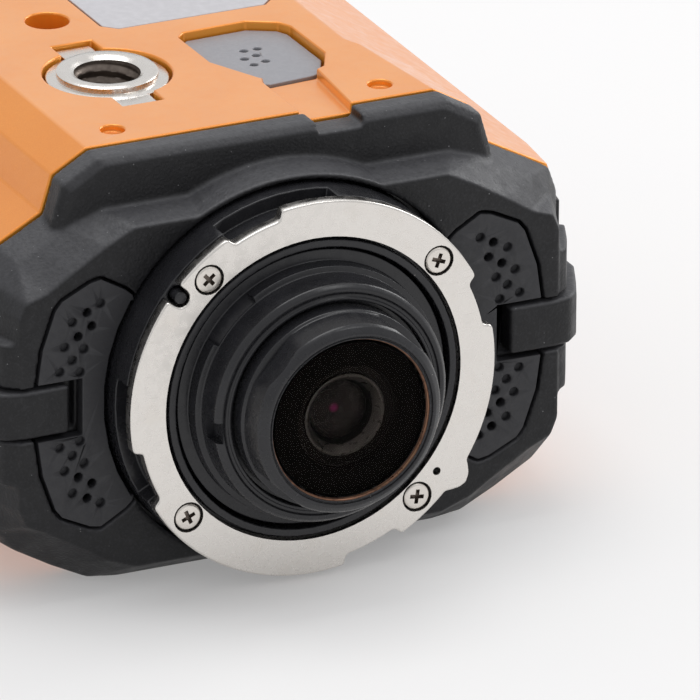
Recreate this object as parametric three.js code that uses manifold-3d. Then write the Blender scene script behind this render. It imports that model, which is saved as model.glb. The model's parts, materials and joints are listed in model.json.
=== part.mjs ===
// Action camera lying on its screen side, tripod face up. Millimetres, +Z up, lens towards -Y.
// Everything is modelled about the lens axis, and the whole group is lifted so that it rests on Z = 0.
import * as THREE from 'three';
import { mergeVertices } from 'three/addons/utils/BufferGeometryUtils.js';
import Module from 'manifold-3d';

const wasm = await Module();
wasm.setup();

// ---------------------------------------------------------------- driving dimensions
const LENS_AXIS_Z = 19.6;          // lens axis above the screen face
const HALF_WIDTH = 33.25;          // over the side rails
const TOP_Z = 23.07;               // tripod face above the lens axis
const BOTTOM_Z = -LENS_AXIS_Z;     // screen face
const FRONT_Y = -44.75;            // front edge of the lens bezel
const BACK_Y = 44.75;              // back of the rear frame
const RING_Y = -36.3;              // front face of the bayonet ring
const PLATE_Y = -31.3;             // front plate of the bumper
const BROW_Y = -27.6;              // front face of the brow
const BUMPER_BACK_Y = -24.45;      // where the orange case begins
const CASE_FRONT_Y = -24.15;
const CASE_BACK_Y = 38.5;
const GAP = 0.3;                   // between neighbouring pieces
const WALL = 1.8;                  // case wall

const RING_INNER_R = 15.3;
const RING_LOBE_R = 18.94;
const RING_CUTOUT_R = 17.98;
const RING_THICKNESS = 1.2;
const RING_SCREW_R = 16.9;         // radius of the four screws' circle
const RING_SCREW = { headR: 1.28, holeR: 1.53, headBack: 1.1, shankR: 0.7, boreR: 1, reach: 4.6,
  crossReach: 0.75, crossHalf: 0.16, crossDepth: 0.6 };
const RING_SCREW_ANGLES = [40, 130, 220, 310];
const CUTOUTS = [[10.8, 26.6], [100.7, 117.6], [191.2, 209], [280.6, 298.9]];
const LUG_TRAVEL = 20;             // degrees a bayonet lug turns behind the ring
const LOCK_SLOT_ANGLE = 140;
const LOCK_PIN = { r: 0.62, boreR: 0.82, at: 17.75 };
const RING_PEG_HOLE = { r: 0.41, at: 16.74, angle: 320.4 };
const RING_BUMP = { from: 317.6, to: 327.5, peakR: 20.2 };
const COLLAR_R = 18.9;
const BARREL_R = 12.7;
const BARREL_BASE_R = 13.6;
const BEZEL_R = 9.96;
const GLASS_R = 7.8;
const COLLAR_LIP_R = 14.2;         // inside of the collar, around the barrel's flange
const COLLAR_STEP_R = 14.95;       // the lip's outside, where it passes through the ring
const KEY_NOTCH = { reach: 14, bottomR: 11.25, back: -38.2, low: -2.1, high: 0 };

const TONGUE_HALF = 2.4;           // half height of the side rails
const GRIP_HALF = 9.5;             // half height of the side grips
const TRIPOD = { x: -8.4, y: -7.7, holeR: 3.2, ringR: 4.87, flangeR: 5.9, stemR: 4.2,
  tabReach: 8, tabHalf: 1.8 };
const SPEAKER = { x: 7, y: -8.2, r: 5.5, soundHoleR: 2.6 };
const BROW_DIMPLE = { x: 13.9, y: -21, r: 1.15, depth: 0.7 };
const CASE_SCREWS = [[-8.1, 6.85], [13, 30], [-13, 30]];
const CASE_SCREW = { headR: 1.75, headLow: 15.3, headHigh: 16.8, shankR: 0.9, shankLow: 6, holeR: 1.2,
  counterboreR: 2.1, counterboreLow: 15, bossR: 3, bossLow: 11.5 };
const DOOR = { left: -21.7, right: 20.2, low: -14, high: 16, front: 42.4, back: 44.5, corner: 2 };
const HINGE = { x: 22, y: 43.2, pinR: 0.8, boreR: 0.9, knuckleR: 1.5, low: -12, high: 11.5 };
const PIN_REACH = 2.6;             // how far the hinge pin passes each end of the knuckle
const PIN_BORE_REACH = 3;
const SWING_RELIEF = 1.4;          // room beside the door for its edge to turn through
const BUTTONS = [
  { name: 'record_button', x: -9.5, y: -14.5, r: 4.2, colour: 0xb5281e },
  { name: 'shutter_button', x: 9.5, y: -14.5, r: 4.2, colour: 0xb8babd },
  { name: 'power_button', x: -12, y: 30, r: 2.7, colour: 0x2a2c30 },
  { name: 'menu_button', x: 0, y: 30, r: 2.7, colour: 0x2a2c30 },
  { name: 'ok_button', x: 12, y: 30, r: 2.7, colour: 0x2a2c30 },
];
const LCD = { x: 15.5, front: -6, back: 23, corner: 1.5 };
const BATTERY = { left: -10.5, right: 10.5, low: 2, high: 11, front: 10, back: 38.2 };
const PORTS = {
  usb: { left: 9.5, right: 16.5, low: -4.2, high: -1.2 },
  hdmi: { left: -4, right: 4.5, low: -5.4, high: -0.8 },
  card: { left: -17, right: -6, low: -3.6, high: -2.6 },
};

// ---------------------------------------------------------------- geometry helpers
const rad = (degrees) => (degrees * Math.PI) / 180;

function toSolid(geometry) {
  let plain = geometry.clone();
  for (const name of Object.keys(plain.attributes)) {
    if (name !== 'position') plain.deleteAttribute(name);
  }
  plain = mergeVertices(plain, 1e-4);
  const triVerts = new Uint32Array(plain.index.array);
  const vertProperties = new Float32Array(plain.attributes.position.array);
  const make = () => new wasm.Manifold(new wasm.Mesh({ numProp: 3, vertProperties, triVerts }));
  const solid = make();
  if (solid.volume() > 0) return solid;
  for (let i = 0; i < triVerts.length; i += 3) {
    [triVerts[i], triVerts[i + 1]] = [triVerts[i + 1], triVerts[i]];
  }
  return make();
}

function toGeometry(solid) {
  const { vertProperties, triVerts } = solid.getMesh();
  const geometry = new THREE.BufferGeometry();
  geometry.setAttribute('position', new THREE.BufferAttribute(new Float32Array(vertProperties), 3));
  geometry.setIndex(new THREE.BufferAttribute(new Uint32Array(triVerts), 1));
  geometry.computeVertexNormals();
  return geometry;
}

const join = (first, ...others) => others.reduce((a, b) => a.add(b), first);
const cut = (first, ...others) => others.reduce((a, b) => a.subtract(b), first);
const polygon = (points) => new THREE.Shape(points.map(([x, y]) => new THREE.Vector2(x, y)));

// A prism whose outline lies in the X-Z plane, between two depths along Y.
function prismY(outline, y0, y1) {
  const geometry = new THREE.ExtrudeGeometry(polygon(outline), { depth: y1 - y0, bevelEnabled: false });
  return toSolid(geometry.rotateX(Math.PI / 2).translate(0, y1, 0));
}

// A prism whose outline lies in the X-Y plane, between two heights.
function prismZ(outline, z0, z1) {
  const geometry = new THREE.ExtrudeGeometry(polygon(outline), { depth: z1 - z0, bevelEnabled: false });
  return toSolid(geometry.translate(0, 0, z0));
}

const rectangle = (x0, x1, y0, y1) => [[x0, y0], [x1, y0], [x1, y1], [x0, y1]];
const chamfered = (x0, x1, y0, y1, c) => [[x0 + c, y0], [x1 - c, y0], [x1, y0 + c], [x1, y1 - c],
  [x1 - c, y1], [x0 + c, y1], [x0, y1 - c], [x0, y0 + c]];
const box = (x0, x1, y0, y1, z0, z1) => prismZ(rectangle(x0, x1, y0, y1), z0, z1);

function circle(r, segments, x = 0, z = 0) {
  return Array.from({ length: segments }, (_, i) => {
    const a = (2 * Math.PI * (i + 0.5)) / segments;
    return [x + r * Math.cos(a), z + r * Math.sin(a)];
  });
}
const rodY = (r, y0, y1, x = 0, z = 0, segments = 24) => prismY(circle(r, segments, x, z), y0, y1);
const rodZ = (r, z0, z1, x = 0, y = 0, segments = 24) => prismZ(circle(r, segments, x, y), z0, z1);

// A body of revolution about the lens axis, from [radius, y] points in order.
function turned(profile, segments = 48) {
  const onAxis = profile[0][0] === 0;
  const points = onAxis ? profile : [...profile, profile[0]];
  return toSolid(new THREE.LatheGeometry(points.map(([r, y]) => new THREE.Vector2(r, y)), segments));
}

// The full outline of a half outline that runs down its right side.
const mirrored = (half) => [...half, ...half.map(([x, z]) => [-x, z]).reverse()];

// Triangles that fill an outline, turning the same way as its points do.
function capFaces(ring) {
  const points = ring.map(([x, z]) => new THREE.Vector2(x, z));
  const clockwise = THREE.ShapeUtils.isClockWise(points);
  return THREE.ShapeUtils.triangulateShape(points, []).map((triangle) => {
    const turns = THREE.ShapeUtils.isClockWise(triangle.map((i) => points[i]));
    return turns === clockwise ? triangle : [...triangle].reverse();
  });
}

// A loft through outlines with the same number of points, at depths along Y.
function loft(stations) {
  const count = stations[0].ring.length;
  const vertices = stations.flatMap(({ y, ring }) => ring.map(([x, z]) => [x, y, z]));
  const faces = [];
  for (let s = 0; s + 1 < stations.length; s += 1) {
    for (let i = 0; i < count; i += 1) {
      const a = s * count + i;
      const b = s * count + ((i + 1) % count);
      faces.push([a, b, b + count], [a, b + count, a + count]);
    }
  }
  const last = (stations.length - 1) * count;
  for (const triangle of capFaces(stations[0].ring)) faces.push(triangle.reverse());
  for (const triangle of capFaces(stations.at(-1).ring)) faces.push(triangle.map((i) => last + i));
  const geometry = new THREE.BufferGeometry();
  geometry.setAttribute('position', new THREE.Float32BufferAttribute(vertices.flat(), 3));
  geometry.setIndex(faces.flat());
  return toSolid(geometry);
}

function mirrorX(solid) {
  const geometry = toGeometry(solid);
  geometry.scale(-1, 1, 1);
  return toSolid(geometry);
}

// ---------------------------------------------------------------- outlines of the case and bumper
const PLATE_OUTLINE = mirrored([[16.1, 17.3], [19, 15.8], [22.6, 13.6], [25.1, 12], [27.3, 11.3],
  [28, 9.6], [28, -9.6], [27.3, -11.3], [25.1, -12.3], [21.4, -14.5], [18.8, -16.2], [15.8, -17.3]]);
const BROW_OUTLINE = mirrored([[18.2, 18], [21.6, 16.9], [24.5, 15.3], [26.8, 14.1], [28.7, 12],
  [29.4, 9.8], [29.4, -9.8], [28.9, -12.8], [27, -15.2], [23.2, -17.4], [19.6, -19.2], [16.6, BOTTOM_Z]]);
const BUMPER_BACK_OUTLINE = mirrored([[18.8, 18.2], [22.95, 17.25], [24.9, 16.2], [27.5, 14.8],
  [30.1, 13.3], [30.9, 11], [30.9, -11.2], [30.1, -13.4], [27.6, -15], [24, -17.2], [21, -18.8],
  [18.3, BOTTOM_Z]]);

const caseOutline = (halfWidth, drop = 0) => mirrored([[18.05, TOP_Z - drop], [21.7, 20.96 - drop],
  [22.8, 17.35 - drop], [halfWidth - 0.8, 17.35 - 0.545 * (halfWidth - 23.6) - drop], [halfWidth, 11],
  [halfWidth, -11.2], [halfWidth - 1.1, -13.5 + drop], [22.4, -18.2 + drop], [18.4, BOTTOM_Z + drop]]);

const CAVITY_OUTLINE = mirrored([[17.2, TOP_Z - WALL], [20.1, 19.5], [21, 15.9], [26.6, 12.8], [28.2, 11],
  [28.2, -11], [26.8, -12.8], [21, -16.2], [17.6, BOTTOM_Z + WALL]]);

// The side of the case in plan, from the bumper back: inner line of the pocket for the rail and grips.
const POCKET_LINE = [[29.6, -24.6], [30.9, -17], [30.9, 33.3]];

// ---------------------------------------------------------------- bumper, rails and grips
const RAIL_OUTER = [[22.9, -31.35], [27.4, -31.4], [29.4, -31], [30.6, -29.8], [31.9, -27],
  [HALF_WIDTH, -23.8], [HALF_WIDTH, 31.8], [32.3, 33]];
const RAIL_INNER = [[31.2, 33], [31.2, -17], [29.9, -24.3], [28.6, -28.5], [28, -29.2], [22.9, -29.2]];

const micOutline = () => {
  const upper = [[26.2, 2.9], [25.7, 6.4], [24.4, 10.1], [23.7, 11], [20.8, 12.4], [19.7, 12.6],
    [17.2, 11.15], [16.4, 10.45], [16.25, 9.85]];
  const inner = [[16.6, 9.95], [17.95, 7.35], [18.85, 4.6], [19.35, 1.6]];
  const lower = [...upper, ...inner].reverse().map(([x, z]) => [x, -z]);
  return [[21.6, 2.9], ...upper, ...inner, ...lower, [21.6, -2.9]];
};

const MIC_HOLES = [[19.7, 10.15], [21.1, 9.45], [22.6, 8.7], [20.6, 8], [22, 7.15], [23.4, 6.3], [21.4, 5.8],
  [22.6, 4.85], [23.9, 3.85], [21.8, 3.5]];
const DEEP_HOLES = [1, 3, 4];      // these carry on through the grille to the microphone
const MIC_HOLE_R = 0.46;
const MICROPHONE = { x: 21.3, z: 8.2, r: 2 };

function offsetOutline(outline, distance) {
  const clockwise = THREE.ShapeUtils.isClockWise(outline.map(([x, y]) => new THREE.Vector2(x, y)));
  const side = clockwise ? -distance : distance;
  const n = outline.length;
  return outline.map(([x, y], i) => {
    const [px, py] = outline[(i + n - 1) % n];
    const [nx, ny] = outline[(i + 1) % n];
    const before = Math.hypot(x - px, y - py);
    const after = Math.hypot(nx - x, ny - y);
    const ax = (y - py) / before + (ny - y) / after;
    const ay = -((x - px) / before + (nx - x) / after);
    const half = (ax * ax + ay * ay) / 2;
    return [x + (side * ax) / half, y + (side * ay) / half];
  });
}

function frontBumper() {
  const body = loft([{ y: PLATE_Y, ring: PLATE_OUTLINE }, { y: BROW_Y, ring: BROW_OUTLINE },
    { y: BUMPER_BACK_Y, ring: BUMPER_BACK_OUTLINE }]);
  const archBack = BROW_Y + 2;
  const arch = turned([[0, PLATE_Y], [19.75, PLATE_Y], [20.15, BROW_Y], [20.15, archBack], [0, archBack]],
    72);
  const brow = [[-22.8, 14], [-22.8, 17.2], [-21.7, 20.96], [-18.05, TOP_Z],
    [18.05, TOP_Z], [21.7, 20.96], [22.8, 17.2], [22.8, 14]];
  const browFront = brow.map(([x, z]) => [x * 0.97, z > 15 ? z - 0.8 : z]);
  const browBlock = loft([{ y: BROW_Y, ring: browFront }, { y: BROW_Y + 0.7, ring: brow },
    { y: BUMPER_BACK_Y, ring: brow }]);
  let bumper = join(body, arch, browBlock);
  for (const side of [1, -1]) {
    const plan = [[27.4, -30.9], [28.5, -30.8], [29.3, -30.2], [30.6, -27.6], [31.7, -24.9],
      [31.7, BUMPER_BACK_Y], [27.4, BUMPER_BACK_Y]].map(([x, y]) => [side * x, y]);
    bumper = join(bumper, prismZ(plan, -7.2, 7.2));
    const channel = [[21.8, -33], [34, -33], [34, -24], [29.6, -24], [28.3, -28.3], [27.8, -28.9],
      [21.8, -28.9]].map(([x, y]) => [side * x, y]);
    bumper = cut(bumper, prismZ(channel, -TONGUE_HALF - GAP, TONGUE_HALF + GAP));
    const pocket = offsetOutline(micOutline(), GAP).map(([x, z]) => [side * x, z]);
    bumper = cut(bumper, prismY(pocket, PLATE_Y - 1, PLATE_Y + 1.7),
      rodY(MICROPHONE.r + GAP, PLATE_Y, BUMPER_BACK_Y + 1, side * MICROPHONE.x, MICROPHONE.z));
  }
  const belowFloor = box(-40, 40, -40, 0, -30, BOTTOM_Z);
  const lensHole = rodY(COLLAR_R + GAP, PLATE_Y - 1, -28.3, 0, 0, 72);
  const backPocket = prismY(chamfered(-19, 19, -15.8, 15.8, 4), -28.5, BUMPER_BACK_Y + 1);
  const browNotch = box(4.4, 9.2, BROW_Y - 1, BUMPER_BACK_Y + 1, TOP_Z - 1.1, TOP_Z + 1);
  return cut(bumper, belowFloor, lensHole, backPocket, browNotch);
}

function micGrille() {
  let panel = prismY(micOutline(), PLATE_Y + 0.05, PLATE_Y + 1.4);
  MIC_HOLES.forEach(([x, z], i) => {
    const depth = DEEP_HOLES.includes(i) ? PLATE_Y + 2 : PLATE_Y + 0.65;
    for (const flip of [1, -1]) panel = cut(panel, rodY(MIC_HOLE_R, PLATE_Y - 1, depth, x, flip * z, 8));
  });
  return panel;
}

const sideRail = () => prismZ([...RAIL_OUTER, ...RAIL_INNER], -TONGUE_HALF, TONGUE_HALF);

function sideGrip(low, high) {
  const plan = [[29.9, -24.1], [31.5, -24.1], [32.7, -17.5], [32.7, 31.4], [32, 33], [31.2, 33], [31.2, -17]];
  const grooves = [0.36, 0.66].map((share) => {
    const z = low + share * (high - low);
    return box(32.2, 34, -18, 30, z - 0.35, z + 0.35);
  });
  return cut(prismZ(plan, low, high), ...grooves);
}

// ---------------------------------------------------------------- case shells
function caseBlock() {
  const outer = loft([{ y: CASE_FRONT_Y, ring: caseOutline(30.9) }, { y: -17, ring: caseOutline(32.2) },
    { y: 34, ring: caseOutline(32.2) }, { y: CASE_BACK_Y, ring: caseOutline(31.2, 0.6) }]);
  const cavity = prismY(CAVITY_OUTLINE, CASE_FRONT_Y - 1, CASE_BACK_Y + 1);
  let block = cut(outer, cavity);
  for (const side of [1, -1]) {
    const plan = [...POCKET_LINE, [40, 33.3], [40, -24.6]].map(([x, y]) => [side * x, y]);
    block = cut(block, prismZ(plan, -GRIP_HALF - GAP, GRIP_HALF + GAP));
  }
  return block;
}

function tripodRecess() {
  const { x, y, flangeR, tabReach, tabHalf } = TRIPOD;
  const floor = TOP_Z - 1.9;
  const halfX = tabHalf + GAP;
  const halfY = tabReach + GAP;
  const tabs = box(x - halfX, x + halfX, y - halfY, y + halfY, floor, TOP_Z + 1);
  return join(rodZ(flangeR + GAP, floor, TOP_Z + 1, x, y, 64), tabs);
}

const SPEAKER_OUTLINE = [[1.9, -2.3], [2.6, -1.6], [9, -1.35], [11.6, -2.8], [12.2, -4], [12.3, -11.4],
  [10.9, -14.2], [10, -14.6], [5.2, -15], [4.5, -14.5], [2, -9.2]];
const CHANNEL_OUTLINE = [[4.1, -16], [4.1, CASE_FRONT_Y - 1], [9.3, CASE_FRONT_Y - 1], [10.2, -14],
  [4.9, -14]];
const LABEL_OUTLINE = chamfered(-3.8, 13.8, 2.4, 24.5, 1.2);

// The tripod face narrows on its right: a wedge along the chamfer, wider behind the speaker.
function rightWedge() {
  const wedge = (shift) => [[18.05 - shift, TOP_Z], [40, TOP_Z - 12.7 - 0.578 * shift], [40, TOP_Z + 5],
    [18.05 - shift, TOP_Z + 5]];
  const edge = loft([{ y: CASE_FRONT_Y - 1, ring: wedge(-0.05) }, { y: -10.9, ring: wedge(1.5) },
    { y: -8.9, ring: wedge(2.3) }, { y: CASE_BACK_Y + 1, ring: wedge(2.3) }]);
  return edge.intersect(box(0, 22.4, -30, 40, 18, 30));
}

function baseShell() {
  const upperHalf = box(-40, 40, -40, 40, 0.55, 30);
  let shell = caseBlock().intersect(upperHalf);
  const screwBoss = ([x, y]) => rodZ(CASE_SCREW.bossR, CASE_SCREW.bossLow, TOP_Z - WALL / 2, x, y, 20);
  const floorUnderSocket = rodZ(9.4, TOP_Z - 8.2, TOP_Z - WALL / 2, TRIPOD.x, TRIPOD.y, 32);
  const floorUnderPanels = box(0.6, 15.2, -16.4, 25.5, TOP_Z - 2.9, TOP_Z - WALL / 2);
  shell = join(shell, floorUnderSocket, floorUnderPanels, ...CASE_SCREWS.map(screwBoss));
  const socketBore = rodZ(TRIPOD.stemR + GAP, TOP_Z - 7, TOP_Z, TRIPOD.x, TRIPOD.y, 28);
  const speakerPocket = prismZ(offsetOutline(SPEAKER_OUTLINE, GAP), TOP_Z - 1.9, TOP_Z + 1);
  const soundHole = rodZ(SPEAKER.soundHoleR, TOP_Z - 4, TOP_Z, SPEAKER.x, SPEAKER.y, 16);
  const channel = prismZ(CHANNEL_OUTLINE, TOP_Z - 1, TOP_Z + 1);
  const labelPocket = prismZ(offsetOutline(LABEL_OUTLINE, 0.2), TOP_Z - 0.7, TOP_Z + 1);
  shell = cut(shell, tripodRecess(), socketBore, speakerPocket, soundHole, channel, labelPocket,
    rightWedge());
  for (const [x, y] of CASE_SCREWS) {
    const { counterboreR, counterboreLow, holeR, bossLow } = CASE_SCREW;
    shell = cut(shell, rodZ(counterboreR, counterboreLow, TOP_Z + 1, x, y, 32),
      rodZ(holeR, bossLow - 1, counterboreLow + 1, x, y, 12));
  }
  for (const side of [1, -1]) {
    shell = cut(shell, rodZ(BROW_DIMPLE.r, TOP_Z - BROW_DIMPLE.depth, TOP_Z + 1, side * BROW_DIMPLE.x,
      BROW_DIMPLE.y, 24));
  }
  return shell;
}

function topShell() {
  const lowerHalf = box(-40, 40, -40, 40, -30, -0.55);
  let shell = caseBlock().intersect(lowerHalf);
  const lcdPocket = prismZ(chamfered(-LCD.x - GAP, LCD.x + GAP, LCD.front - GAP, LCD.back + GAP, LCD.corner),
    BOTTOM_Z - 1, BOTTOM_Z + 1.4);
  const ledge = 1.5;
  const lcdOpening = box(-LCD.x + ledge, LCD.x - ledge, LCD.front + ledge, LCD.back - ledge, BOTTOM_Z - 1,
    BOTTOM_Z + 3);
  shell = cut(shell, lcdPocket, lcdOpening);
  for (const { x, y, r } of BUTTONS) shell = cut(shell, rodZ(r + GAP, BOTTOM_Z - 1, BOTTOM_Z + 3, x, y, 24));
  return shell;
}

function caseGasket() {
  const outer = rectangle(-29.4, 29.4, CASE_FRONT_Y + 0.2, 35.2);
  const inner = rectangle(-28.4, 28.4, CASE_FRONT_Y - 1, 34);
  return cut(prismZ(outer, -0.25, 0.25), prismZ(inner, -1, 1));
}

// ---------------------------------------------------------------- rear frame, door and bay
function rearFrame() {
  const body = loft([{ y: CASE_BACK_Y + GAP, ring: caseOutline(31.3, 0.5) },
    { y: 41.6, ring: caseOutline(30.9, 0.9) }, { y: 44, ring: caseOutline(29.6, 2) },
    { y: BACK_Y, ring: caseOutline(28.8, 2.8) }]);
  const doorway = chamfered(DOOR.left - GAP, DOOR.right + GAP, DOOR.low - GAP, DOOR.high + GAP, DOOR.corner);
  const opening = prismY(doorway, CASE_BACK_Y - 1, BACK_Y + 1);
  const knucklePocket = box(DOOR.right, 23.9, 41.2, BACK_Y + 1, HINGE.low - GAP, HINGE.high + GAP);
  const swingRelief = box(DOOR.right, DOOR.right + SWING_RELIEF, DOOR.front - GAP, BACK_Y + 1,
    DOOR.low + DOOR.corner - GAP, DOOR.high - DOOR.corner + GAP);
  const pinBore = rodZ(HINGE.boreR, HINGE.low - PIN_BORE_REACH, HINGE.high + PIN_BORE_REACH, HINGE.x,
    HINGE.y, 20);
  return cut(body, opening, knucklePocket, swingRelief, pinBore);
}

function batteryDoor() {
  const { left, right, low, high, front, back, corner } = DOOR;
  const plate = loft([{ y: front, ring: chamfered(left, right, low, high, corner) },
    { y: back - 0.5, ring: chamfered(left, right, low, high, corner) },
    { y: back, ring: chamfered(left + 0.5, right - 0.5, low + 0.5, high - 0.5, corner) }]);
  const inner = prismY(chamfered(left + 2.9, right - 1.7, low + 1.8, high - 1.8, corner), 40.4, front + 0.2);
  const knuckle = rodZ(HINGE.knuckleR, HINGE.low, HINGE.high, HINGE.x, HINGE.y, 24);
  const web = box(right - 1.4, HINGE.x, HINGE.y - 0.8, HINGE.y + 1.1, HINGE.low, HINGE.high);
  const bore = rodZ(HINGE.boreR, HINGE.low - 1, HINGE.high + 1, HINGE.x, HINGE.y, 20);
  const latchPocket = box(-19.2, -7.2, 43.2, BACK_Y + 1, -3.8, 5.8);
  const gripRidge = (z) => box(2, 15, 43.9, BACK_Y + 1, z, z + 0.6);
  return cut(join(plate, inner, knuckle, web), bore, latchPocket, ...[-3, -0.8, 1.4, 3.6].map(gripRidge));
}

function doorGasket() {
  const { left, right, low, high } = DOOR;
  const outer = chamfered(left + 1.3, right - 0.4, low + 0.5, high - 0.5, 2.2);
  const hole = chamfered(left + 2.6, right - 1.4, low + 1.5, high - 1.5, 2);
  return cut(prismY(outer, 40.7, 42.1), prismY(hole, 40, 43));
}

function doorLatch() {
  const plate = loft([{ y: 43.5, ring: chamfered(-18.8, -10.4, -3.4, 5.4, 1) },
    { y: 44.3, ring: chamfered(-18.8, -10.4, -3.4, 5.4, 1) },
    { y: 44.7, ring: chamfered(-18.3, -10.9, -2.9, 4.9, 1) }]);
  const thumbGroove = (x) => box(x, x + 0.7, 44.25, 46, -1.6, 3.6);
  return cut(plate, ...[-16.6, -14.9, -13.2].map(thumbGroove));
}

function rearBulkhead() {
  const plate = prismY(chamfered(-27.6, 27.6, -15.8, 14.6, 7), 35.6, 37.4);
  const openings = [BATTERY, ...Object.values(PORTS)].map(({ left, right, low, high }) =>
    prismY(rectangle(left - GAP, right + GAP, low - GAP, high + GAP), 34, 40));
  return cut(plate, ...openings);
}

const port = ({ left, right, low, high }) => cut(box(left, right, 30, 37.8, low, high),
  box(left + 0.8, right - 0.8, 32, 39, low + 0.8, high - 0.8));

// ---------------------------------------------------------------- lens mount and optics
function ringRadius(degrees) {
  const inside = ([from, to]) => degrees > from && degrees < to;
  const { from: bumpFrom, to: bumpTo, peakR } = RING_BUMP;
  if (degrees > bumpFrom && degrees < bumpTo) return peakR - 0.045 * (degrees - (bumpFrom + bumpTo) / 2) ** 2;
  return CUTOUTS.some(inside) ? RING_CUTOUT_R : RING_LOBE_R;
}

function ringOutline() {
  const edges = [...CUTOUTS.flat(), RING_BUMP.from, RING_BUMP.to].flatMap((a) => [a - 0.6, a + 0.6]);
  const even = Array.from({ length: 90 }, (_, i) => i * 4 + 2)
    .filter((a) => edges.every((edge) => Math.abs(edge - a) > 1));
  const bumpWidth = RING_BUMP.to - RING_BUMP.from;
  const bumpPoints = [0.28, 0.5, 0.72].map((share) => RING_BUMP.from + share * bumpWidth);
  return [...even, ...edges, ...bumpPoints].sort((a, b) => a - b)
    .map((a) => [ringRadius(a) * Math.cos(rad(a)), ringRadius(a) * Math.sin(rad(a))]);
}

function lensMountRing() {
  const back = RING_Y + RING_THICKNESS;
  let ring = cut(prismY(ringOutline(), RING_Y, back), rodY(RING_INNER_R, RING_Y - 1, back + 1, 0, 0, 90));
  for (const a of RING_SCREW_ANGLES) {
    ring = cut(ring, rodY(RING_SCREW.holeR, RING_Y - 1, back + 1, RING_SCREW_R * Math.cos(rad(a)),
      RING_SCREW_R * Math.sin(rad(a)), 20));
  }
  const c = Math.cos(rad(LOCK_SLOT_ANGLE));
  const s = Math.sin(rad(LOCK_SLOT_ANGLE));
  const slot = [[17.9, -0.92], [21, -0.92], [21, 0.92], [17.9, 0.92], [17.3, 0.7], [17, 0.25], [17, -0.25],
    [17.3, -0.7]].map(([r, t]) => [r * c - t * s, r * s + t * c]);
  const peg = rad(RING_PEG_HOLE.angle);
  const pegHole = rodY(RING_PEG_HOLE.r, RING_Y - 1, back + 1, RING_PEG_HOLE.at * Math.cos(peg),
    RING_PEG_HOLE.at * Math.sin(peg), 12);
  return cut(ring, prismY(slot, RING_Y - 1, back + 1), pegHole);
}

function ringScrew(angle) {
  const x = RING_SCREW_R * Math.cos(rad(angle));
  const z = RING_SCREW_R * Math.sin(rad(angle));
  const { headR, headBack, shankR, reach, crossReach, crossHalf, crossDepth } = RING_SCREW;
  const head = rodY(headR, RING_Y + 0.03, RING_Y + headBack, x, z, 20);
  const shank = rodY(shankR, RING_Y + headBack - 0.1, RING_Y + reach, x, z, 12);
  const bar = (along, across) => box(x - along, x + along, RING_Y - 1, RING_Y + crossDepth, z - across,
    z + across);
  return cut(join(head, shank), bar(crossReach, crossHalf), bar(crossHalf, crossReach));
}

const sector = (r0, r1, from, to) => {
  const steps = Math.ceil((to - from) / 5);
  const arc = (r) => Array.from({ length: steps + 1 }, (_, i) => rad(from + ((to - from) * i) / steps))
    .map((a) => [r * Math.cos(a), r * Math.sin(a)]);
  return [...arc(r1), ...arc(r0).reverse()];
};

function bayonetCollar() {
  const front = RING_Y + RING_THICKNESS + GAP;
  const lip = RING_Y + 0.1;
  const back = -28.6;
  let collar = turned([[COLLAR_LIP_R, lip], [COLLAR_STEP_R, lip], [COLLAR_STEP_R, front],
    [COLLAR_R, front], [COLLAR_R, back], [COLLAR_LIP_R, back]], 60);
  for (const [from, to] of CUTOUTS) {
    collar = cut(collar, prismY(sector(17.5, 21, from - LUG_TRAVEL, to), front - 1, front + 2.2));
  }
  for (const a of RING_SCREW_ANGLES) {
    collar = cut(collar, rodY(RING_SCREW.boreR, front - 1, front + 4.2, RING_SCREW_R * Math.cos(rad(a)),
      RING_SCREW_R * Math.sin(rad(a)), 12));
  }
  const a = rad(LOCK_SLOT_ANGLE);
  return cut(collar, rodY(LOCK_PIN.boreR, front - 1, front + 4.5, LOCK_PIN.at * Math.cos(a),
    LOCK_PIN.at * Math.sin(a), 16));
}

const lockPin = () => {
  const a = rad(LOCK_SLOT_ANGLE);
  const { r, at } = LOCK_PIN;
  return rodY(r, RING_Y + 0.35, RING_Y + 4, at * Math.cos(a), at * Math.sin(a), 16);
};

function lensBarrel() {
  const flangeR = COLLAR_LIP_R - GAP;
  const barrel = turned([[7, -25], [BARREL_BASE_R, -25], [BARREL_BASE_R, -31], [flangeR, -31.4],
    [flangeR, -35.7], [BARREL_R, -35.7], [BARREL_R, -37.2], [12.1, -37.2], [12, -40], [11.6, -40.4],
    [10.35, -40.4], [10.35, -39.4], [7, -39.4]]);
  const { reach, bottomR, back, low, high } = KEY_NOTCH;
  return cut(barrel, box(-reach, -bottomR, -41, back, low, high));
}

const lensBezel = () => turned([[8.5, FRONT_Y], [9.3, -44.35], [9.5, -44.1], [BEZEL_R, -41.4],
  [BEZEL_R, -39.75], [7.4, -39.75], [7.4, -43.25], [8.1, -43.25], [8.1, -44.6]]);
const frontLens = () => turned([[0, -44.7], [2, -44.68], [4, -44.62], [6, -44.5], [GLASS_R, -44.3],
  [GLASS_R, -43.55], [0, -43.55]]);
const lensBaffle = () => turned([[3.2, -42.3], [3.9, -43.1], [6.7, -43.1], [6.7, -36.5], [3.2, -36.5]], 40);
const innerLens = () => turned([[0, -42.2], [1.6, -42.1], [2.9, -41.6], [2.9, -38], [0, -38]], 32);

function frontChassis() {
  const plate = prismY(chamfered(-18.6, 18.6, -15.4, 15.4, 4), -28.1, -25.2);
  return cut(plate, rodY(BARREL_BASE_R + GAP, -30, -24, 0, 0, 48));
}

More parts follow.
